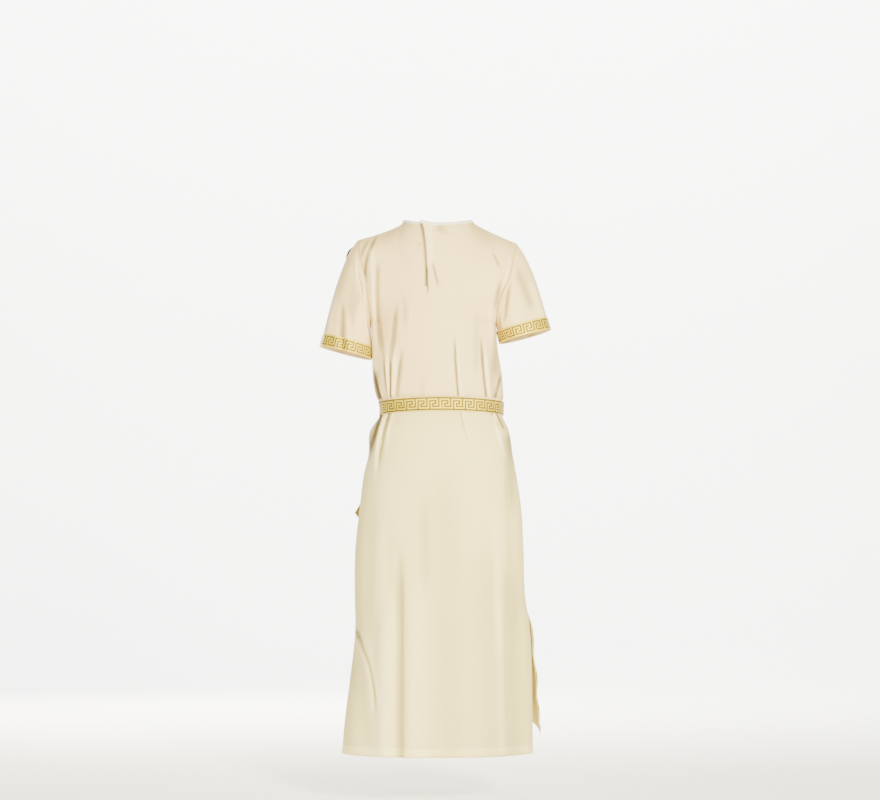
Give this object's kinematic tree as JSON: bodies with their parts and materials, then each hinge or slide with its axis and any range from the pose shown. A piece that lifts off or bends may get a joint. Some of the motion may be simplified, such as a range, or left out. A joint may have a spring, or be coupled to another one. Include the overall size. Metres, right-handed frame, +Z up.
{
  "type": "roman noble costume",
  "caption": "Child's ankle-length cream tunic with short sleeves, key-pattern ribbon at cuffs and belt, lapped neck slit at the back and a front drape.",
  "frame": {"origin": "middle of the neck opening, level with the shoulder seams at the neck, where the wearer's shoulders carry the garment", "axes": "+Z up, the front of the garment faces -Y, +X towards the wearer's left sleeve"},
  "size_m": [0.4191, 0.2378, 0.9572],
  "materials": {
    "tunic_cloth": "soft matt polyester crepe, cream",
    "binding_cloth": "the same cloth, folded, a little lighter",
    "gold_ribbon": "woven ribbon with gold thread, key pattern",
    "brooch_metal": "darkened metal"
  },
  "bodies": {
    "root": {"back": "tunic_cloth", "front": "tunic_cloth", "sleeve_left": "tunic_cloth", "sleeve_right": "tunic_cloth", "neck_binding": "binding_cloth", "sleeve_trim_left": "gold_ribbon", "sleeve_trim_right": "gold_ribbon", "belt": "gold_ribbon", "belt_knot": "gold_ribbon", "belt_tail_long": "gold_ribbon", "belt_tail_short": "gold_ribbon", "drape": "tunic_cloth", "drape_trim": "gold_ribbon", "brooch": "brooch_metal"}
  },
  "joints": []
}
